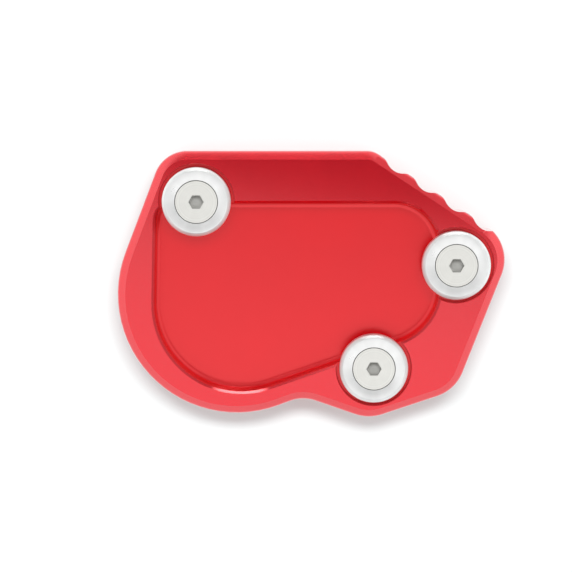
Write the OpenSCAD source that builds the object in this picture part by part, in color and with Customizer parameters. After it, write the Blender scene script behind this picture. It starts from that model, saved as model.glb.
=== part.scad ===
// Foot enlarger for the side stand of a motorbike.
// A milled plate takes the foot of the stand in a sunk seat. Three round clamp discs, each held
// by a countersunk screw, reach over the edge of the foot and hold the plate on.
// The plate lies flat with its seat up. X runs along its longest side, and the scalloped edge
// faces +X and +Y. The origin is on the underside, below the middle of the plate.

/* [Plate] */
// Overall length along X
plate_l = 88.1; // [84:0.1:95]
// Overall width along Y
plate_w = 60.8; // [57:0.1:66]
// Thickness of the plate
plate_t = 12; // [10:0.5:16]
// Chamfer round the upper edge
top_chamfer = 1.9; // [0.5:0.1:2.3]
// Rounding between that chamfer and the side
side_round = 1.6; // [0.2:0.1:2.5]
// Chamfer round the lower edge
low_chamfer = 1; // [0.3:0.1:1.5]

/* [Outline] */
// Radius of the shoulder, the corner at the upper left
shoulder_r = 7.8; // [6:0.1:10]
// From the left side to the centre of the shoulder
shoulder_in = 16; // [13:0.1:18]
// Radius of the corner between the top edge and the scalloped edge
top_corner_r = 4.8; // [4:0.1:8]
// From the right side to the centre of that corner
top_corner_in = 31.4; // [26:0.1:34]
// Radius of the nose, the corner furthest right
nose_r = 9.4; // [8:0.1:11]
// From the top edge to the centre of the nose
nose_down = 24.8; // [22:0.1:27]
// Radius of the heel, the corner at the lower right
heel_r = 9.5; // [7:0.1:11]
// From the right side to the centre of the heel
heel_in = 18.2; // [16:0.1:20]
// From the bottom edge to the centre of the heel
heel_up = 13.7; // [12:0.1:16]
// Radius of the toe, the lowest corner
toe_r = 9.7; // [7:0.1:10.5]
// From the right side to the centre of the toe
toe_in = 30.8; // [27:0.1:34]
// Radius of the waist, the hollow in the bottom edge
waist_r = 8.4; // [6:0.1:12]
// Straight stretch between the waist and the toe
toe_run = 9.6; // [7:0.1:12]
// Straight stretch between the waist and the lobe
lobe_run = 2.8; // [1:0.1:5]
// From the bottom edge to the lowest point of the lobe, the large round end
lobe_up = 0.9; // [0:0.1:3]
// From the top edge to the level where the full circle of the lobe would end
lobe_down = 5.6; // [4:0.1:8]

/* [Scalloped edge] */
// Number of scallops
scallop_count = 4; // [3:1:4]
// Distance from one scallop to the next
scallop_pitch = 7.9; // [6.5:0.1:8.2]
// Depth of a scallop below the crests
scallop_depth = 1.2; // [0.8:0.1:1.5]
// Radius of the hollow of a scallop
scallop_r = 4; // [3.5:0.1:5]
// How far the row of scallops lies from the middle of its edge, towards the nose
scallop_shift = 2; // [0:0.1:3]

/* [Seat for the foot of the stand] */
// Depth of the seat below the rim
seat_depth = 5.5; // [4:0.1:7]
// Chamfer round the edge of the seat
seat_chamfer = 0.5; // [0.3:0.1:1.4]
// Fillet between the wall and the floor of the seat
seat_fillet = 1.3; // [0.4:0.1:1.8]
// How much smaller the round end of the seat is than the lobe, in radius
rim_lobe = 6.7; // [5:0.1:9]
// Rim between the left side and the round end of the seat
rim_side = 7.8; // [6:0.1:10]
// Rim between the lowest point of the lobe and the round end of the seat
rim_low = 4.7; // [3.5:0.1:6]
// Rim between the top edge and the seat
rim_top = 11.2; // [10:0.1:14]
// Rim between the left side and the upper left corner of the seat
rim_corner = 8.2; // [7:0.1:10]
// Radius of the upper left corner of the seat
seat_corner_r = 4.4; // [3:0.1:8]
// Radius of the upper right corner of the seat
seat_top_r = 10.9; // [8:0.1:12]
// Radius of the lower right corner of the seat
seat_nose_r = 13.9; // [12:0.1:15]
// From the axes of the right and lower screws to the edge of the seat
seat_to_screw = 3.1; // [2.8:0.1:5]

/* [Clamp discs] */
// Outer diameter of a disc
disc_d = 15.6; // [14:0.1:17]
// Thickness of a disc below its countersink
disc_floor = 1; // [0.5:0.1:2]
// Chamfer round the upper edge of a disc
disc_chamfer = 0.8; // [0.3:0.1:1.2]
// Chamfer round the lower edge of a disc
disc_low_chamfer = 0.3; // [0.1:0.1:0.6]
// Depth of the pocket that a disc lies in
pocket_depth = 2; // [1:0.1:2.5]
// Clearance between a disc and the wall of its pocket
pocket_gap = 0.7; // [0.2:0.1:0.9]
// Chamfer round the mouth of a pocket
pocket_chamfer = 0.2; // [0.1:0.1:0.4]
// From the left side to the left pocket
left_pocket_in = 9.6; // [8:0.1:12]
// From the top edge to the left pocket
left_pocket_down = 2.9; // [2:0.1:5]
// From the right side to the right pocket
right_pocket_in = 2.7; // [1.7:0.1:4]
// From the top edge to the right pocket
right_pocket_down = 17.3; // [16:0.1:19]
// From the centre of the toe to the axis of the lower screw, along X
low_screw_over = 1; // [0:0.1:2]
// From the bottom edge to the lower pocket
low_pocket_up = 3; // [1.7:0.1:4]

/* [Screws] */
// Thread diameter
screw_d = 5; // [4:0.5:5]
// Length of a screw with its head
screw_l = 10; // [8:0.5:12]
// Diameter of the head
head_d = 9.5; // [9:0.1:10.5]
// Height of the straight land round the head
head_land = 0.3; // [0.1:0.1:0.5]
// Depth of the head below the top of the disc
head_sink = 0.1; // [0:0.05:0.3]
// Width of the hexagon socket across its flats
hex_w = 3; // [2:0.5:3.5]
// Depth of the hexagon socket
hex_depth = 2; // [1.2:0.1:2.2]
// Chamfer at the tip
tip_chamfer = 0.6; // [0.3:0.1:0.8]
// Clearance round the land of the head
head_gap = 0.15; // [0.05:0.01:0.2]
// Clearance between the cone of the head and its countersink, along the radius
cone_gap = 0.03; // [0.01:0.01:0.05]
// Clearance round the screw in the hole of the disc
hole_gap = 0.25; // [0.1:0.05:0.4]
// Clearance round the thread in the plate
thread_gap = 0.05; // [0.02:0.01:0.1]
// Wall round the thread where it stands in the seat
boss_wall = 1.5; // [1:0.1:2]
// Chamfer where the screw hole leaves the underside
hole_chamfer = 0.5; // [0.2:0.1:1]

/* [Tread on the underside] */
// Width of a tread groove
groove_w = 2; // [1:0.1:3]
// Depth of a tread groove
groove_depth = 1; // [0.5:0.1:1.5]
// Distance from one groove to the next
groove_pitch = 6; // [5:0.1:8]
// Plain border round the tread
tread_border = 5; // [3:0.1:7]

/* [Hidden] */

$fn = 96;
over = 0.2;          // how far a cut runs past a face
arc_step = 5;        // largest turn between two points of an arc, in degrees
small_r = 0.5;       // smallest corner of the tread field

left = -plate_l / 2;
right = plate_l / 2;
top = plate_w / 2;
bottom = -plate_w / 2;

screw_r = screw_d / 2;
head_r = head_d / 2;
disc_r = disc_d / 2;
bore_r = screw_r + thread_gap;
hole_r = screw_r + hole_gap;
sink_r = head_r + head_gap;
cone_r = head_r + cone_gap;
boss_r = bore_r + boss_wall;
pocket_r = disc_r + pocket_gap;
land_z = disc_floor + cone_r - hole_r;
disc_t = land_z + head_land + head_sink;
pocket_z = plate_t - pocket_depth;
head_top = pocket_z + disc_t - head_sink;
seat_z = plate_t - seat_depth;

left_screw = [left + left_pocket_in + pocket_r, top - left_pocket_down - pocket_r];
right_screw = [right - right_pocket_in - pocket_r, top - right_pocket_down - pocket_r];
low_screw = [right - toe_in + low_screw_over, bottom + low_pocket_up + pocket_r];
screws = [left_screw, right_screw, low_screw];

// Corners of the outline as circles [x, y, r], clockwise from the shoulder. A straight edge
// touches each circle and the next. A negative radius is a hollow.
lobe_r = (plate_w - lobe_up - lobe_down) / 2;
lobe = [left + lobe_r, bottom + lobe_up + lobe_r, lobe_r];
toe = [right - toe_in, bottom + toe_r, toe_r];
waist = concat(
    meeting(lobe, slant(lobe_r + waist_r, lobe_run), toe, slant(toe_r + waist_r, toe_run)),
    [-waist_r]
);
nose = [right - nose_r, top - nose_down, nose_r];
top_corner = [right - top_corner_in, top - top_corner_r, top_corner_r];
outline = [
    [left + shoulder_in, top - shoulder_r, shoulder_r],
    top_corner,
    nose,
    [right - heel_in, bottom + heel_up, heel_r],
    toe,
    waist,
    lobe
];

// Corners of the seat at the level of the rim, in the same form. Its lower edge runs from the
// round end past the lower screw, and its right corners share the height that this leaves.
seat_lobe_r = lobe_r - rim_lobe;
seat_lobe = [left + rim_side + seat_lobe_r, bottom + lobe_up + rim_low + seat_lobe_r, seat_lobe_r];
seat_top = top - rim_top;
seat_right = right_screw.x - seat_to_screw;
low_edge = low_edge_normal(seat_lobe, low_screw, seat_to_screw);
low_edge_reach = low_edge * [seat_lobe.x, seat_lobe.y] + seat_lobe_r;
seat_room = seat_top - (low_edge_reach - low_edge.x * seat_right) / low_edge.y;
corner_share = min(1, 0.95 * seat_room / (seat_top_r + seat_nose_r));
seat_high_r = seat_top_r * corner_share;
seat_low_r = seat_nose_r * corner_share;
seat_low_x = seat_right - seat_low_r;
seat = [
    [left + rim_corner + seat_corner_r, seat_top - seat_corner_r, seat_corner_r],
    [seat_right - seat_high_r, seat_top - seat_high_r, seat_high_r],
    [seat_low_x, (low_edge_reach - seat_low_r - low_edge.x * seat_low_x) / low_edge.y, seat_low_r],
    seat_lobe
];

// Distance between the centres of two circles, one convex and one hollow, that a straight run joins
function slant(radii, run) = sqrt(radii * radii + run * run);

// The point at distance ra from a and rb from b, on the right-hand side of the way from a to b
function meeting(a, ra, b, rb) =
    let (
        d = [b.x - a.x, b.y - a.y],
        l = norm(d),
        u = d / l,
        along = (ra * ra - rb * rb + l * l) / (2 * l),
        off = sqrt(ra * ra - along * along)
    )
    [a.x, a.y] + along * u + off * [u.y, -u.x];

// Outward normal of the edge that touches a circle and passes a screw at a distance
function low_edge_normal(circle, screw, distance) =
    let (d = [screw.x - circle.x, screw.y - circle.y])
    unit(atan2(d.y, d.x) - acos(min(1, (circle[2] + distance) / norm(d))));

// Unit vector at an angle
function unit(a) = [cos(a), sin(a)];

// Direction of the normal of the edge that joins circle a to circle b
function normal_at(a, b) =
    let (d = [b.x - a.x, b.y - a.y])
    atan2(d.y, d.x) + acos((a[2] - b[2]) / norm(d));

// Points of a rounded outline, moved inwards by inset
function ring(circles, inset = 0) =
    let (n = len(circles))
    [for (i = [0 : n - 1])
        let (
            c = circles[i],
            from = normal_at(circles[(i + n - 1) % n], c),
            to = normal_at(c, circles[(i + 1) % n]),
            hollow = c[2] < 0,
            sweep = ((hollow ? to - from : from - to) + 720) % 360,
            steps = max(1, ceil(sweep / arc_step))
        )
        for (k = [0 : steps])
            [c.x, c.y] + (c[2] - inset) * unit(from + (hollow ? 1 : -1) * sweep * k / steps)
    ];

// Circles of a field that keeps a border inside an outline
function shrunk(circles, border) =
    [for (c = circles) [c.x, c.y, c[2] > 0 ? max(c[2] - border, small_r) : c[2] - border]];

// Solid through rounded outlines, one for each [z, inset] of a profile, from low to high
module loft(circles, profile) {
    rings = [for (p = profile) ring(circles, p[1])];
    n = len(rings[0]);
    levels = len(profile);
    points = [for (j = [0 : levels - 1]) for (p = rings[j]) [p.x, p.y, profile[j][0]]];
    floor_face = [for (i = [n - 1 : -1 : 0]) i];
    roof_face = [for (i = [0 : n - 1]) (levels - 1) * n + i];
    sides = [
        for (j = [0 : levels - 2])
            for (i = [0 : n - 1])
                let (a = j * n + i, b = j * n + (i + 1) % n)
                [a, b, b + n, a + n]
    ];
    polyhedron(points, concat([floor_face], sides, [roof_face]));
}

// Everything between two levels
module slab(low, high) {
    reach = 2 * (plate_l + plate_w);
    translate([-reach / 2, -reach / 2, low])
        cube([reach, reach, high - low]);
}

module plate_blank() {
    round_steps = 3;
    round_z = plate_t - top_chamfer - side_round * tan(22.5);
    rounding = [
        for (k = [0 : round_steps])
            let (a = 45 * k / round_steps)
            [round_z + side_round * sin(a), side_round * (1 - cos(a))]
    ];
    intersection() {
        loft(outline, concat(
            [[-over, low_chamfer + over], [low_chamfer, 0]],
            rounding,
            [[plate_t + over, top_chamfer + over]]
        ));
        slab(0, plate_t);
    }
}

// What the scallops take away: hollows of one radius, joined by round crests that touch the
// straight edge between the top corner and the nose. The last hollow runs out in the nose.
module scallop_cut() {
    a = normal_at(top_corner, nose);
    start = [top_corner.x, top_corner.y] + top_corner_r * unit(a);
    end = [nose.x, nose.y] + nose_r * unit(a);
    half = scallop_pitch / 2;
    crest_r = (half * half + scallop_depth * scallop_depth) / (2 * scallop_depth) - scallop_r;
    turn = asin(half / (scallop_r + crest_r));
    steps = ceil(turn / arc_step);
    clear = 2 * scallop_r;
    wave = [
        for (i = [0 : scallop_count - 1])
            let (crest = i * scallop_pitch, hollow = crest + half, next = crest + scallop_pitch)
            each [
                for (k = [0 : steps - 1])
                    [crest, -crest_r] + crest_r * unit(90 - turn * k / steps),
                for (k = [-steps : steps - 1])
                    [hollow, scallop_r - scallop_depth] + scallop_r * unit(270 + turn * k / steps),
                for (k = [-steps : -1])
                    [next, -crest_r] + crest_r * unit(90 - turn * k / steps)
            ],
        [scallop_count * scallop_pitch, 0]
    ];
    middle = (start + end) / 2;
    translate([middle.x, middle.y, -over])
        rotate(a - 90)
            translate([scallop_shift - scallop_count * half, 0])
                linear_extrude(plate_t + 2 * over)
                    polygon(concat(wave, [[scallop_count * scallop_pitch, clear], [0, clear]]));
}

// The seat, with its fillet, wall and chamfered edge, less a boss round each screw
module seat_cut() {
    fillet_steps = 6;
    fillet = [
        for (k = [0 : fillet_steps])
            let (a = 90 * k / fillet_steps)
            [seat_z + seat_fillet * (1 - cos(a)), seat_chamfer + seat_fillet * (1 - sin(a))]
    ];
    difference() {
        loft(seat, concat(fillet, [
            [plate_t - seat_chamfer, seat_chamfer],
            [plate_t + over, -over]
        ]));
        for (s = screws)
            translate([s.x, s.y, seat_z - over])
                cylinder(r = boss_r, h = pocket_z - seat_z + over);
    }
}

// Pocket of a clamp disc and the threaded hole of its screw
module screw_cut() {
    translate([0, 0, pocket_z])
        cylinder(r = pocket_r, h = pocket_depth + over);
    translate([0, 0, plate_t - pocket_chamfer])
        cylinder(r1 = pocket_r, r2 = pocket_r + pocket_chamfer + over, h = pocket_chamfer + over);
    translate([0, 0, -over])
        cylinder(r = bore_r, h = plate_t);
    translate([0, 0, -over])
        cylinder(r1 = bore_r + hole_chamfer + over, r2 = bore_r, h = hole_chamfer + over);
}

// Parallel grooves along the scalloped edge that end at a plain border
module tread_cut() {
    reach = plate_l + plate_w;
    count = ceil(reach / groove_pitch / 2);
    translate([0, 0, -over])
        linear_extrude(groove_depth + over)
            intersection() {
                polygon(ring(shrunk(outline, tread_border)));
                rotate(normal_at(top_corner, nose) - 90)
                    for (i = [-count : count - 1])
                        translate([-reach / 2, (i + 0.5) * groove_pitch - groove_w / 2])
                            square([reach, groove_w]);
            }
}

module base_plate() {
    color("crimson")
        difference() {
            plate_blank();
            scallop_cut();
            seat_cut();
            for (s = screws)
                translate([s.x, s.y, 0])
                    screw_cut();
            tread_cut();
        }
}

// A turned disc with a countersunk hole, seated on the floor of its pocket
module clamp_disc(place) {
    color("gainsboro")
        translate([place.x, place.y, pocket_z])
            rotate_extrude()
                polygon([
                    [hole_r, 0],
                    [disc_r - disc_low_chamfer, 0],
                    [disc_r, disc_low_chamfer],
                    [disc_r, disc_t - disc_chamfer],
                    [disc_r - disc_chamfer, disc_t],
                    [sink_r, disc_t],
                    [sink_r, land_z + sink_r - cone_r],
                    [hole_r, disc_floor]
                ]);
}

// A countersunk screw with a hexagon socket
module screw(place) {
    cone_z = -head_land - (head_r - screw_r);
    color("silver")
        translate([place.x, place.y, head_top])
            difference() {
                rotate_extrude()
                    polygon([
                        [0, 0],
                        [head_r, 0],
                        [head_r, -head_land],
                        [screw_r, cone_z],
                        [screw_r, tip_chamfer - screw_l],
                        [screw_r - tip_chamfer, -screw_l],
                        [0, -screw_l]
                    ]);
                translate([0, 0, -hex_depth])
                    cylinder(d = hex_w / cos(30), h = hex_depth + over, $fn = 6);
            }
}

module clamp_disc_left() { clamp_disc(left_screw); }
module clamp_disc_right() { clamp_disc(right_screw); }
module clamp_disc_lower() { clamp_disc(low_screw); }
module screw_left() { screw(left_screw); }
module screw_right() { screw(right_screw); }
module screw_lower() { screw(low_screw); }

base_plate();
clamp_disc_left();
clamp_disc_right();
clamp_disc_lower();
screw_left();
screw_right();
screw_lower();
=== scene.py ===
"""Looks for a side stand foot enlarger: a milled plate, three clamp discs and their screws.

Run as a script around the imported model. Sizes are in metres, in the frame of the model: the
plate lies flat with its seat up, X runs along its longest side and Z is up.
"""

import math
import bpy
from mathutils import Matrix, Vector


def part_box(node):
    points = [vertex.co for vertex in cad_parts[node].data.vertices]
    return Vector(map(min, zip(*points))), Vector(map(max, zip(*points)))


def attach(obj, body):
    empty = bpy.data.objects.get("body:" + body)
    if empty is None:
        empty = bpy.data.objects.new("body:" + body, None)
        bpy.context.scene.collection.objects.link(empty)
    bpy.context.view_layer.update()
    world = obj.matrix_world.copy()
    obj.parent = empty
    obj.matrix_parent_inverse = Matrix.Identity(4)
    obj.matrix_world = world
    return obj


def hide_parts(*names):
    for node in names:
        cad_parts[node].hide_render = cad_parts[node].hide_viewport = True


bl_info = {
    "name": "Side stand foot enlarger",
    "version": (1, 0, 0),
    "blender": (4, 5, 0),
    "location": "3D View > Sidebar > Foot enlarger",
    "description": "Finishes the plate, clamp discs and screws, and sets up the studio",
    "category": "Mesh",
}

from collections import namedtuple

import bpy
from bpy.props import (
    FloatProperty,
    FloatVectorProperty,
    IntProperty,
    PointerProperty,
)
from mathutils import Vector

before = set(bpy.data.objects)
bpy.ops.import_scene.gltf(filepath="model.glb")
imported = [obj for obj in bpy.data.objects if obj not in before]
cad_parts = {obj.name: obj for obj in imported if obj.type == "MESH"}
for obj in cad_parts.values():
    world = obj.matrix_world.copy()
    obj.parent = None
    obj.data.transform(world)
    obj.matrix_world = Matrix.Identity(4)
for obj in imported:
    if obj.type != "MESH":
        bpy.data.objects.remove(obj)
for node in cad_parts.values():
    node.data.update()
bpy.context.view_layer.update()

MM = 0.001
SIDES = ("left", "right", "lower")


def middle(node):
    """Middle of a CAD node's box."""
    low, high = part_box(node)
    return (low + high) / 2


def height_of(node):
    """Height of a CAD node's box."""
    low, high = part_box(node)
    return high.z - low.z


DISC_RADIUS = round(max(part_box("clamp_disc_left")[1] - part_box("clamp_disc_left")[0]) / 2, 5)
DISC_THICK = height_of("clamp_disc_left")
HEAD_RADIUS = round(max((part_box("screw_left")[1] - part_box("screw_left")[0]).xy) / 2, 5)
HEAD_LAND = 0.3 * MM  # straight side of the head, above its cone
SCREW_LENGTH = height_of("screw_left")


# Settings


class PlateSettings(bpy.types.PropertyGroup):
    """Sizes and finish of the milled plate"""

    edge_round: FloatProperty(
        name="Edge rounding",
        description="Width of the rounding that the tumbling leaves on each sharp edge",
        default=0.15 * MM,
        min=0.02 * MM,
        max=0.3 * MM,
        precision=5,
        unit="LENGTH",
    )
    red: FloatVectorProperty(
        name="Red of the rim",
        description="Colour of the anodised rim, chamfers, sides and underside",
        default=(0.8, 0.007, 0.02),
        min=0,
        max=1,
        size=3,
        subtype="COLOR",
    )
    # Painted light: the seat's red is brighter than the rim's, to make up for the shade that the
    # walls and discs throw in the seat.
    brightened_seat_red: FloatVectorProperty(
        name="Red of the seat",
        description="Colour of the anodised seat and pockets",
        default=(0.93, 0.002, 0.01),
        min=0,
        max=1,
        size=3,
        subtype="COLOR",
    )
    roughness: FloatProperty(
        name="Roughness of the rim",
        description="Roughness of the blasted aluminium under the anodised layer",
        default=0.16,
        min=0,
        max=1,
        subtype="FACTOR",
    )
    seat_roughness: FloatProperty(
        name="Roughness of the seat",
        description="Roughness that the milling cutter leaves in the seat and pockets",
        default=0.31,
        min=0,
        max=1,
        subtype="FACTOR",
    )
    grain: FloatProperty(
        name="Grain size",
        description="Size of the grain that the blasting leaves",
        default=0.25 * MM,
        min=0.05 * MM,
        max=1 * MM,
        precision=5,
        unit="LENGTH",
    )


class DiscSettings(bpy.types.PropertyGroup):
    """Sizes and finish of the clamp discs"""

    edge_round: FloatProperty(
        name="Edge rounding",
        description="Radius on the turned edges",
        default=0.12 * MM,
        min=0.02 * MM,
        max=0.2 * MM,
        precision=5,
        unit="LENGTH",
    )
    metal: FloatVectorProperty(
        name="Aluminium",
        description="Colour of the bare turned aluminium",
        default=(0.9, 0.905, 0.9),
        min=0,
        max=1,
        size=3,
        subtype="COLOR",
    )
    roughness: FloatProperty(
        name="Roughness",
        description="Roughness of the turned faces",
        default=0.3,
        min=0,
        max=1,
        subtype="FACTOR",
    )
    steps: IntProperty(
        name="Steps",
        description="Steps of the turned outline round the axis",
        default=144,
        min=24,
        max=256,
    )


class ScrewSettings(bpy.types.PropertyGroup):
    """Sizes and finish of the screws"""

    edge_round: FloatProperty(
        name="Edge rounding",
        description="Radius on the edges of the head",
        default=0.06 * MM,
        min=0.01 * MM,
        max=0.15 * MM,
        precision=5,
        unit="LENGTH",
    )
    steel: FloatVectorProperty(
        name="Steel",
        description="Colour of the stainless steel",
        default=(0.73, 0.726, 0.69),
        min=0,
        max=1,
        size=3,
        subtype="COLOR",
    )
    roughness: FloatProperty(
        name="Roughness",
        description="Roughness of the steel",
        default=0.32,
        min=0,
        max=1,
        subtype="FACTOR",
    )
    steps: IntProperty(
        name="Steps",
        description="Steps of the head and shank round the axis",
        default=96,
        min=24,
        max=192,
    )


class StageSettings(bpy.types.PropertyGroup):
    """Camera and light of the studio"""

    distance: FloatProperty(
        name="Camera distance",
        description="Distance from the camera to the plate",
        default=0.5,
        min=0.2,
        max=2,
        unit="LENGTH",
    )
    tilt: FloatProperty(
        name="Camera tilt",
        description="Angle between the view and straight down",
        default=math.radians(5.5),
        min=0,
        max=math.radians(80),
        subtype="ANGLE",
    )
    field: FloatProperty(
        name="Field",
        description="Width of the picture at the top of the plate",
        default=129.6 * MM,
        min=50 * MM,
        max=500 * MM,
        unit="LENGTH",
    )
    aim: FloatVectorProperty(
        name="Aim",
        description="Point of the plate's top that the middle of the picture shows",
        default=(-5.7 * MM, -0.11 * MM, 12 * MM),
        size=3,
        unit="LENGTH",
    )
    key: FloatProperty(
        name="Key light",
        description="Power of the lamp that throws the soft shadow",
        default=4.5,
        min=0,
        max=50,
        unit="POWER",
    )
    sky: FloatProperty(
        name="Dark part of the sky",
        description="Brightness of the dark band of sky beside the white card",
        default=0.05,
        min=0,
        max=1,
        subtype="FACTOR",
    )


# Helpers

SAME_PLACE = 1e-7  # vertices of a profile that lie nearer than this are one


def deselect():
    """Leave edit mode and select nothing."""
    if bpy.context.mode != "OBJECT":
        bpy.ops.object.mode_set(mode="OBJECT")
    bpy.ops.object.select_all(action="DESELECT")


def take(obj):
    """Make one object the only selected and the active one."""
    deselect()
    obj.select_set(True)
    bpy.context.view_layer.objects.active = obj


def start_profile(name, first):
    """A new object of one vertex, in edit mode, at the start of a profile."""
    deselect()
    bpy.ops.mesh.primitive_plane_add(size=MM, location=(0, 0, 0))
    obj = bpy.context.active_object
    obj.name = name
    obj.data.name = name
    bpy.ops.object.mode_set(mode="EDIT")
    bpy.ops.mesh.select_mode(type="VERT")
    bpy.ops.mesh.merge(type="CENTER")
    bpy.ops.transform.translate(value=first)
    return obj


def draw_profile(points):
    """Extrude the selected vertex from point to point."""
    for a, b in zip(points, points[1:]):
        bpy.ops.mesh.extrude_region_move(TRANSFORM_OT_translate={"value": b - a})


def pick_vertices(obj, wanted):
    """Select the vertices of an object in edit mode that a test accepts."""
    bpy.ops.mesh.select_all(action="DESELECT")
    bpy.ops.object.mode_set(mode="OBJECT")
    for v in obj.data.vertices:
        v.select = bool(wanted(v.co))
    bpy.ops.object.mode_set(mode="EDIT")


def turned(name, profile, closed, rounding, steps):
    """Spin a profile of (radius, height) round the Z axis, with its corners rounded."""
    points = [Vector((r, 0, z)) for r, z in profile]
    ends = (points[0], points[-1])
    obj = start_profile(name, points[0])
    draw_profile(points)
    if closed:
        pick_vertices(obj, lambda co: any((co - end).length < SAME_PLACE for end in ends))
        bpy.ops.mesh.edge_face_add()
    pick_vertices(obj, lambda co: co.x > SAME_PLACE)
    bpy.ops.mesh.bevel(offset=rounding, segments=3, affect="VERTICES")
    bpy.ops.mesh.select_all(action="SELECT")
    bpy.ops.mesh.spin(steps=steps, angle=2 * math.pi, center=(0, 0, 0), axis=(0, 0, 1))
    bpy.ops.mesh.select_all(action="SELECT")
    bpy.ops.mesh.remove_doubles(threshold=SAME_PLACE)
    bpy.ops.mesh.normals_make_consistent(inside=False)
    bpy.ops.object.mode_set(mode="OBJECT")
    return obj


def copy_to(obj, name, place):
    """A copy with its own mesh, moved to a place that is then in its mesh."""
    take(obj)
    bpy.ops.object.duplicate(linked=False)
    made = bpy.context.active_object
    made.name = name
    made.data.name = name
    bpy.ops.transform.translate(value=place)
    bpy.ops.object.transform_apply(location=True, rotation=True, scale=True)
    return made


def shade(obj, angle):
    """Shade an object smooth, apart from edges past an angle.

    The normals are weighed by area, so that flat faces shade flat up to their rounded edges.
    """
    take(obj)
    bpy.ops.object.shade_smooth_by_angle(angle=angle)
    weigh = obj.modifiers.new("weigh", "WEIGHTED_NORMAL")
    weigh.mode = "FACE_AREA"
    weigh.weight = 100
    weigh.keep_sharp = True
    bpy.ops.object.modifier_apply(modifier=weigh.name)


def dress(obj, *materials):
    """Give an object these materials and no others."""
    obj.data.materials.clear()
    for material in materials:
        obj.data.materials.append(material)


# Materials

# What the lathe leaves: how metallic the face looks and the width of a ring; and the share of
# painted sheen, streaks of painted highlight that fan out from the axis
Turning = namedtuple("Turning", "metallic ring streaks")
# Painted shade in a hole of a turned piece: its radius, the height of its mouth, and the share of
# colour left inside, darker where shade falls in the gap or the socket
PaintedShade = namedtuple("PaintedShade", "radius mouth share")

RED_SHADES = (0.95, 1.05)  # least and most of the plate's colour
RED_CLOUDS = 60
GRAIN_DEPTH = 0.01 * MM
METAL_SHADES = (0.86, 1.06)  # least and most of a turned metal's colour, between which its rings and its painted sheen move
METAL_CLOUDS = 300
RING_DEPTH = 0.004 * MM
PAINTED_SHEEN_SCALE = 1.3
PAINTED_SHEEN_SPAN = (0.3, 0.7)  # what the noise gives where the painted sheen is darkest and brightest
# soft edges of the painted shade: at the hole's rim, and down from its mouth
PAINTED_SHADE_EDGE = 0.05 * MM
PAINTED_SHADE_FADE = 0.5 * MM


def put(tree, node, values):
    """Give a node's inputs plain values, or link them to other nodes' outputs."""
    for key, value in values.items():
        if isinstance(value, bpy.types.NodeSocket):
            tree.links.new(value, node.inputs[key])
        else:
            node.inputs[key].default_value = value


def add(tree, kind, values=None, **settings):
    """A new node with its settings and inputs."""
    node = tree.nodes.new(kind)
    for key, value in settings.items():
        setattr(node, key, value)
    put(tree, node, values or {})
    return node


def new_material(name):
    """A material with its tree, its Principled shader and its Object coordinates."""
    material = bpy.data.materials.new(name)
    material.use_nodes = True
    tree = material.node_tree
    here = add(tree, "ShaderNodeTexCoord").outputs["Object"]
    return material, tree, tree.nodes["Principled BSDF"], here


def noise(tree, here, scale, detail, roughness=0.5):
    """A cloudy value that changes from place to place."""
    values = {"Vector": here, "Scale": scale, "Detail": detail, "Roughness": roughness}
    return add(tree, "ShaderNodeTexNoise", values).outputs["Fac"]


def ramp(tree, source, start, end, low=0, high=1):
    """A value that goes softly from low to high while its source goes from start to end."""
    values = {"Value": source, "From Min": start, "From Max": end, "To Min": low, "To Max": high}
    node = add(tree, "ShaderNodeMapRange", values, interpolation_type="SMOOTHSTEP")
    return node.outputs["Result"]


def vary(tree, source, value, by):
    """A value that a noise moves down and up."""
    values = {"Value": source, "To Min": value - by, "To Max": value + by}
    return add(tree, "ShaderNodeMapRange", values).outputs["Result"]


def joined(tree, operation, a, b):
    """The result of a math node on two values."""
    return add(tree, "ShaderNodeMath", {0: a, 1: b}, operation=operation).outputs[0]


def vector(tree, operation, a, b=(0, 0, 0)):
    """The result of a vector math node, a value for a length or a dot product."""
    node = add(tree, "ShaderNodeVectorMath", {0: a, 1: b}, operation=operation)
    return node.outputs["Value" if operation in ("LENGTH", "DOT_PRODUCT") else "Vector"]


def blend(tree, factor, a, b):
    """A value between two, by a factor."""
    return add(tree, "ShaderNodeMix", {0: factor, 2: a, 3: b}, data_type="FLOAT").outputs[0]


def shades(tree, factor, a, b):
    """A colour between two, by a factor."""
    return add(tree, "ShaderNodeMix", {0: factor, 6: a, 7: b}, data_type="RGBA").outputs[2]


def scaled(colour, by):
    """A colour made darker or brighter, with its alpha."""
    return (*(min(1, c * by) for c in colour), 1)


def relief(tree, height, strength, depth):
    """The normal of a surface with a fine relief."""
    values = {"Height": height, "Strength": strength, "Distance": depth}
    return add(tree, "ShaderNodeBump", values).outputs["Normal"]


def anodised(name, red, roughness, coat_roughness, grain_size):
    """Red anodised aluminium: a grained metal under a thin clear layer."""
    material, tree, shader, here = new_material(name)
    grain = noise(tree, here, 1 / grain_size, detail=2)
    cloud = noise(tree, here, RED_CLOUDS, detail=3, roughness=0.6)
    dark, bright = (scaled(red, by) for by in RED_SHADES)
    values = {
        "Base Color": shades(tree, cloud, dark, bright),
        "Roughness": vary(tree, cloud, roughness, by=0.03),
        "Normal": relief(tree, grain, strength=0.25, depth=GRAIN_DEPTH),
        "Metallic": 0.8,
        "Coat Weight": 1,
        "Coat Roughness": coat_roughness,
        "Coat IOR": 1.6,
    }
    put(tree, shader, values)
    return material


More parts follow.
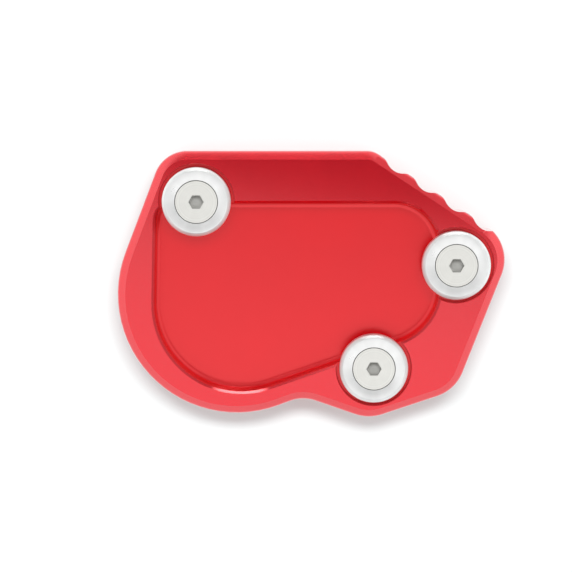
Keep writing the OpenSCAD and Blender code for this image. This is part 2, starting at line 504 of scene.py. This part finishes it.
def turned_metal(name, centre, colour, roughness, turning, painted_shade):
    """Metal with the fine rings that turning leaves, painted sheen in streaks that fan out from
    its axis, and painted shade in its gap or socket.
    """
    material, tree, shader, here = new_material(name)
    to_axis = {"Vector": here, "Location": (-centre.x, -centre.y, 0)}
    place = add(tree, "ShaderNodeMapping", to_axis).outputs["Vector"]
    flat = vector(tree, "MULTIPLY", place, (1, 1, 0))
    radius = vector(tree, "LENGTH", flat)
    ring = {"W": radius, "Scale": 1 / turning.ring, "Detail": 3}
    rings = add(tree, "ShaderNodeTexNoise", ring, noise_dimensions="1D").outputs["Fac"]
    cloud = noise(tree, place, METAL_CLOUDS, detail=3)
    # painted sheen: brightness that changes with the angle round the axis, standing in for the
    # highlights of turned metal
    painted_sheen = noise(tree, vector(tree, "NORMALIZE", flat), PAINTED_SHEEN_SCALE, detail=2)
    tone = blend(tree, turning.streaks, rings, ramp(tree, painted_sheen, *PAINTED_SHEEN_SPAN))
    dark, bright = (scaled(colour, by) for by in METAL_SHADES)
    height = add(tree, "ShaderNodeSeparateXYZ", {0: here}).outputs["Z"]
    # painted shade: the colour is darker inside the gap round the head and inside the socket
    inside = joined(
        tree,
        "MULTIPLY",
        ramp(tree, radius, painted_shade.radius, painted_shade.radius - PAINTED_SHADE_EDGE),
        ramp(tree, height, painted_shade.mouth - PAINTED_SHADE_EDGE, painted_shade.mouth - PAINTED_SHADE_FADE),
    )
    surface = shades(tree, tone, dark, bright)
    values = {
        "Base Color": shades(tree, inside, surface, scaled(colour, painted_shade.share)),
        "Roughness": vary(tree, cloud, roughness, by=0.06),
        "Normal": relief(tree, rings, strength=0.5, depth=RING_DEPTH),
        "Metallic": turning.metallic,
    }
    put(tree, shader, values)
    return material


# Pieces

PLATE_WELD = 1e-6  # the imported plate's corners that lie nearer than this are one
PLATE_FLAT = math.radians(0.5)
PLATE_SHARP = math.radians(28)
RIM_COAT = 0.08  # roughness of the clear layer
SEAT_COAT = 0.22
TREAD_TOP = 1.2 * MM  # no groove of the underside reaches this high
RIM_DEPTH = 0.3 * MM  # what lies less deep than this still counts as rim

TURNED_SHARP = math.radians(30)
DISC_TURNING = Turning(metallic=0.7, ring=0.12 * MM, streaks=0.6)
SCREW_TURNING = Turning(metallic=0.45, ring=0.3 * MM, streaks=0.2)


class FOOT_OT_plate(bpy.types.Operator):
    """Round the edges of the milled plate and give it its anodised finish"""

    bl_idname = "foot_enlarger.plate"
    bl_label = "Milled plate"

    def execute(self, context):
        settings = context.scene.foot_plate
        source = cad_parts["base_plate"]
        obj = bpy.data.objects.new("milled_plate", source.data.copy())
        obj.data.name = "milled_plate"
        context.scene.collection.objects.link(obj)
        take(obj)
        bpy.ops.mesh.customdata_custom_splitnormals_clear()
        bpy.ops.object.mode_set(mode="EDIT")
        bpy.ops.mesh.select_mode(type="VERT")
        bpy.ops.mesh.select_all(action="SELECT")
        bpy.ops.mesh.remove_doubles(threshold=PLATE_WELD)
        bpy.ops.mesh.dissolve_limited(angle_limit=PLATE_FLAT)
        bpy.ops.mesh.select_all(action="DESELECT")
        bpy.ops.mesh.select_mode(type="EDGE")
        bpy.ops.mesh.edges_select_sharp(sharpness=PLATE_SHARP)
        bpy.ops.mesh.bevel(
            offset=settings.edge_round, segments=2, profile=0.6, clamp_overlap=True
        )
        bpy.ops.object.mode_set(mode="OBJECT")
        shade(obj, PLATE_SHARP)
        rim = (settings.red, settings.roughness, RIM_COAT, settings.grain)
        seat = (settings.brightened_seat_red, settings.seat_roughness, SEAT_COAT, settings.grain)
        dress(obj, anodised("red_anodised_rim", *rim), anodised("red_anodised_seat_brightened", *seat))
        self.mark_seat(obj)
        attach(obj, "root")
        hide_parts("base_plate")
        return {"FINISHED"}

    def mark_seat(self, obj):
        """Give the floors and walls of the seat and the pockets the milled finish, whose red is
        brighter as painted light against the shade in the seat.

        A wall belongs to them where a ray from it, level and away from it, meets the plate.
        """
        level = 0.95
        standing = 0.05
        start = 0.02 * MM
        bpy.context.view_layer.update()
        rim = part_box("base_plate")[1].z - RIM_DEPTH
        for face in obj.data.polygons:
            if not TREAD_TOP < face.center.z < rim:
                continue
            out = Vector((face.normal.x, face.normal.y, 0))
            if face.normal.z > level:
                face.material_index = 1
            elif out.length > standing:
                out.normalize()
                if obj.ray_cast(face.center + start * out, out)[0]:
                    face.material_index = 1


class FOOT_OT_discs(bpy.types.Operator):
    """Turn a clamp disc with its countersink and copy it to each of its pockets"""

    bl_idname = "foot_enlarger.discs"
    bl_label = "Clamp discs"

    def execute(self, context):
        settings = context.scene.foot_discs
        hole = 2.75 * MM
        foot_chamfer = 0.3 * MM
        top_chamfer = 0.8 * MM
        head_sink = 0.1 * MM
        head_gap = 0.15 * MM
        cone_gap = 0.03 * MM
        past_wall = 0.06 * MM
        sink = HEAD_RADIUS + head_gap
        cone = DISC_THICK - head_sink - HEAD_LAND - HEAD_RADIUS - cone_gap
        profile = [
            (hole, 0),
            (DISC_RADIUS - foot_chamfer, 0),
            (DISC_RADIUS, foot_chamfer),
            (DISC_RADIUS, DISC_THICK - top_chamfer),
            (DISC_RADIUS - top_chamfer, DISC_THICK),
            (sink, DISC_THICK),
            (sink, cone + sink),
            (hole, cone + hole),
        ]
        master = turned("disc_master", profile, True, settings.edge_round, settings.steps)
        shade(master, TURNED_SHARP)
        for side in SIDES:
            node = "clamp_disc_" + side
            centre = middle(node)
            place = Vector((centre.x, centre.y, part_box(node)[0].z))
            disc = copy_to(master, "turned_disc_" + side, place)
            # painted shade: the gap round the screw's head is darkened in the colour
            painted_shade = PaintedShade(radius=sink + past_wall, mouth=place.z + DISC_THICK, share=0.15)
            look = (settings.metal, settings.roughness, DISC_TURNING, painted_shade)
            dress(disc, turned_metal("bright_aluminium_" + side, centre, *look))
            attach(disc, "root")
            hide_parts(node)
        bpy.data.objects.remove(master)
        return {"FINISHED"}


class FOOT_OT_screws(bpy.types.Operator):
    """Turn a countersunk screw, cut its hexagon socket and copy it to each disc"""

    bl_idname = "foot_enlarger.screws"
    bl_label = "Screws"

    def execute(self, context):
        settings = context.scene.foot_screws
        shank = 2.5 * MM
        tip = 0.6 * MM
        profile = [
            (0, 0),
            (HEAD_RADIUS, 0),
            (HEAD_RADIUS, -HEAD_LAND),
            (shank, -HEAD_LAND - (HEAD_RADIUS - shank)),
            (shank, tip - SCREW_LENGTH),
            (shank - tip, -SCREW_LENGTH),
            (0, -SCREW_LENGTH),
        ]
        master = turned("screw_master", profile, False, settings.edge_round, settings.steps)
        self.cut_socket(master)
        shade(master, TURNED_SHARP)
        for side in SIDES:
            node = "screw_" + side
            centre = middle(node)
            place = Vector((centre.x, centre.y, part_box(node)[1].z))
            screw = copy_to(master, "socket_screw_" + side, place)
            # painted shade: the hexagon socket is darkened in the colour
            painted_shade = PaintedShade(radius=1.8 * MM, mouth=place.z, share=0.65)
            look = (settings.steel, settings.roughness, SCREW_TURNING, painted_shade)
            dress(screw, turned_metal("stainless_steel_" + side, centre, *look))
            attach(screw, "root")
            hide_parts(node)
        bpy.data.objects.remove(master)
        return {"FINISHED"}

    def cut_socket(self, screw):
        """Take a hexagon socket with a drilled cone at its bottom out of the head."""
        depth = 2 * MM
        across = 3 * MM
        drill = 1.3 * MM
        cone = 0.6 * drill
        overlap = 0.02 * MM
        half_side = math.radians(30)
        deselect()
        bpy.ops.mesh.primitive_cylinder_add(
            vertices=6,
            radius=across / 2 / math.cos(half_side),
            depth=2 * depth,
            location=(0, 0, 0),
            rotation=(0, 0, half_side),
        )
        self.take_out(screw, bpy.context.active_object)
        deselect()
        bpy.ops.mesh.primitive_cone_add(
            vertices=48,
            radius1=0,
            radius2=drill,
            depth=cone,
            location=(0, 0, -depth - cone / 2 + overlap),
        )
        self.take_out(screw, bpy.context.active_object)

    def take_out(self, screw, cutter):
        """Cut the shape of one object out of the screw and remove that object."""
        take(cutter)
        bpy.ops.object.transform_apply(location=True, rotation=True, scale=True)
        take(screw)
        cut = screw.modifiers.new("socket", "BOOLEAN")
        cut.operation = "DIFFERENCE"
        cut.solver = "EXACT"
        cut.object = cutter
        bpy.ops.object.modifier_apply(modifier=cut.name)
        bpy.data.objects.remove(cutter)


# Stage

SENSOR = 36  # width of the camera's sensor, in millimetres as the camera counts it

FLOOR_WIDTH = 8
FLOOR_DROP = 0.02 * MM  # keeps the floor's face clear of the plate's
# a slight cyan, painted in to cancel the red light that the plate bounces into its shadow on the
# floor
FLOOR_COLOUR = (0.62, 0.665, 0.665, 1)
GLOW_FROM_TO = (0.07, 0.3)  # distance from the middle
GLOW_LEVELS = (0.2, 0.5)

LAMP_PLACE = Vector((0, 0.28, 0.68))
LAMP_SIZE = (0.42, 0.16)

# The sky. Each pair is where a part of it begins and where it is full, along the direction's
# reach (0 overhead, growing towards -Y), its height or its side (0 in the middle, 1 at +X or -X).
# LEVEL and LEVELS are brightness.
REACH = (-0.15, -0.99, 0)
CARD = (0.045, 0.075)
CARD_FADE = (0.16, 0.42)
CARD_LEVELS = (1.12, 0.9)
CEILING = (-0.02, -0.14)
CEILING_LEVEL = 0.5
CEILING_FOOT = (0.8, 0.4)
CEILING_FOOT_LEVEL = 0.1
SIDE = (0.2, 0.5)
SIDE_LEVEL = 0.8
WALLS = (0.2, 0.8)
WALL_LEVELS = (0.3, 0.5)
WINDOW_TURN = (0.92, 0.97)
WINDOW_SILL = (0.11, 0.13)
WINDOW_HEAD = (0.17, 0.15)
WINDOW_LEVEL = 8
ABOVE_WALLS = (0.2, 0.4)


class FOOT_OT_stage(bpy.types.Operator):
    """Add the camera, the pale floor, the sky and the lamp"""

    bl_idname = "foot_enlarger.stage"
    bl_label = "Studio"

    def execute(self, context):
        settings = context.scene.foot_stage
        self.add_camera(context, settings)
        self.add_floor()
        self.add_sky(context, settings)
        self.add_lamp(settings)
        context.scene.view_settings.view_transform = "Standard"
        return {"FINISHED"}

    def add_camera(self, context, settings):
        """Add a camera that looks almost straight down at the aim."""
        back = Vector((0, math.sin(settings.tilt), math.cos(settings.tilt)))
        deselect()
        bpy.ops.object.camera_add(
            location=Vector(settings.aim) + settings.distance * back,
            rotation=(-settings.tilt, 0, 0),
        )
        camera = context.active_object
        camera.name = "photo_camera"
        camera.data.sensor_width = SENSOR
        camera.data.lens = SENSOR * settings.distance / settings.field
        camera.data.clip_start = 0.01
        camera.data.clip_end = 20
        context.scene.camera = camera

    def add_floor(self):
        """Add a matt floor that glows in views and in reflections, and sheds no other light."""
        deselect()
        bpy.ops.mesh.primitive_plane_add(size=FLOOR_WIDTH, location=(0, 0, -FLOOR_DROP))
        floor = bpy.context.active_object
        floor.name = "pale_floor"
        material, tree, shader, here = new_material("pale_floor")
        put(tree, shader, {"Base Color": FLOOR_COLOUR, "Roughness": 1, "Specular IOR Level": 0})
        rays = add(tree, "ShaderNodeLightPath").outputs
        seen = joined(tree, "MAXIMUM", rays["Is Camera Ray"], rays["Is Glossy Ray"])
        seen = joined(tree, "MAXIMUM", seen, rays["Is Transmission Ray"])
        level = ramp(tree, vector(tree, "LENGTH", here), *GLOW_FROM_TO, *GLOW_LEVELS)
        glow = add(tree, "ShaderNodeEmission", {"Strength": joined(tree, "MULTIPLY", seen, level)})
        both = add(tree, "ShaderNodeAddShader", {0: shader.outputs[0], 1: glow.outputs[0]})
        put(tree, tree.nodes["Material Output"], {"Surface": both.outputs[0]})
        dress(floor, material)

    def add_sky(self, context, settings):
        """A large white card overhead with a soft edge, white sides and a far window strip.

        The card hangs towards -Y. A dark band runs along its edge, then comes the grey ceiling,
        which is darker further down. The window strip stands low, towards +Y.
        """
        world = bpy.data.worlds.new("studio")
        context.scene.world = world
        world.use_nodes = True
        tree = world.node_tree
        there = add(tree, "ShaderNodeTexCoord").outputs["Generated"]
        x, y, z = add(tree, "ShaderNodeSeparateXYZ", {0: there}).outputs
        reach = vector(tree, "DOT_PRODUCT", there, REACH)
        side = add(tree, "ShaderNodeMath", {0: x}, operation="ABSOLUTE").outputs[0]
        room = ramp(tree, reach, *CEILING, settings.sky, CEILING_LEVEL)
        room = blend(tree, ramp(tree, z, *CEILING_FOOT), room, CEILING_FOOT_LEVEL)
        card = ramp(tree, reach, *CARD_FADE, *CARD_LEVELS)
        above = blend(tree, ramp(tree, reach, *CARD), room, card)
        above = blend(tree, ramp(tree, side, *SIDE), above, SIDE_LEVEL)
        walls = ramp(tree, side, *WALLS, *WALL_LEVELS)
        strip = joined(
            tree, "MULTIPLY", ramp(tree, z, *WINDOW_SILL), ramp(tree, z, *WINDOW_HEAD)
        )
        window = joined(tree, "MULTIPLY", ramp(tree, y, *WINDOW_TURN), strip)
        low = blend(tree, window, walls, WINDOW_LEVEL)
        sky = blend(tree, ramp(tree, z, *ABOVE_WALLS), low, above)
        put(tree, tree.nodes["Background"], {"Color": (1, 1, 1, 1), "Strength": sky})

    def add_lamp(self, settings):
        """Add the lamp that throws the soft shadow, aimed at the plate."""
        deselect()
        bpy.ops.object.light_add(
            type="AREA",
            location=LAMP_PLACE,
            rotation=(-LAMP_PLACE).to_track_quat("-Z", "Y").to_euler(),
        )
        lamp = bpy.context.active_object
        lamp.name = "key_lamp"
        lamp.data.shape = "RECTANGLE"
        lamp.data.size, lamp.data.size_y = LAMP_SIZE
        lamp.data.energy = settings.key
        lamp.visible_glossy = False


class FOOT_PT_panel(bpy.types.Panel):
    """Settings and steps of the foot enlarger"""

    bl_idname = "FOOT_PT_panel"
    bl_label = "Foot enlarger"
    bl_space_type = "VIEW_3D"
    bl_region_type = "UI"
    bl_category = "Foot enlarger"

    def draw(self, context):
        for step, group in STEPS:
            box = self.layout.box()
            settings = getattr(context.scene, group)
            for name in settings.bl_rna.properties.keys():
                if name not in ("rna_type", "name"):
                    box.prop(settings, name)
            box.operator(step.bl_idname)


STEPS = (
    (FOOT_OT_plate, "foot_plate"),
    (FOOT_OT_discs, "foot_discs"),
    (FOOT_OT_screws, "foot_screws"),
    (FOOT_OT_stage, "foot_stage"),
)
GROUPS = {
    "foot_plate": PlateSettings,
    "foot_discs": DiscSettings,
    "foot_screws": ScrewSettings,
    "foot_stage": StageSettings,
}
CLASSES = (*GROUPS.values(), *(step for step, group in STEPS), FOOT_PT_panel)


def register():
    for cls in CLASSES:
        bpy.utils.register_class(cls)
    for name, group in GROUPS.items():
        setattr(bpy.types.Scene, name, PointerProperty(type=group))


def unregister():
    for name in GROUPS:
        delattr(bpy.types.Scene, name)
    for cls in reversed(CLASSES):
        bpy.utils.unregister_class(cls)


def main():
    register()
    bpy.ops.foot_enlarger.plate()
    bpy.ops.foot_enlarger.discs()
    bpy.ops.foot_enlarger.screws()
    bpy.ops.foot_enlarger.stage()
    bpy.context.view_layer.update()


if __name__ == "__main__":
    main()
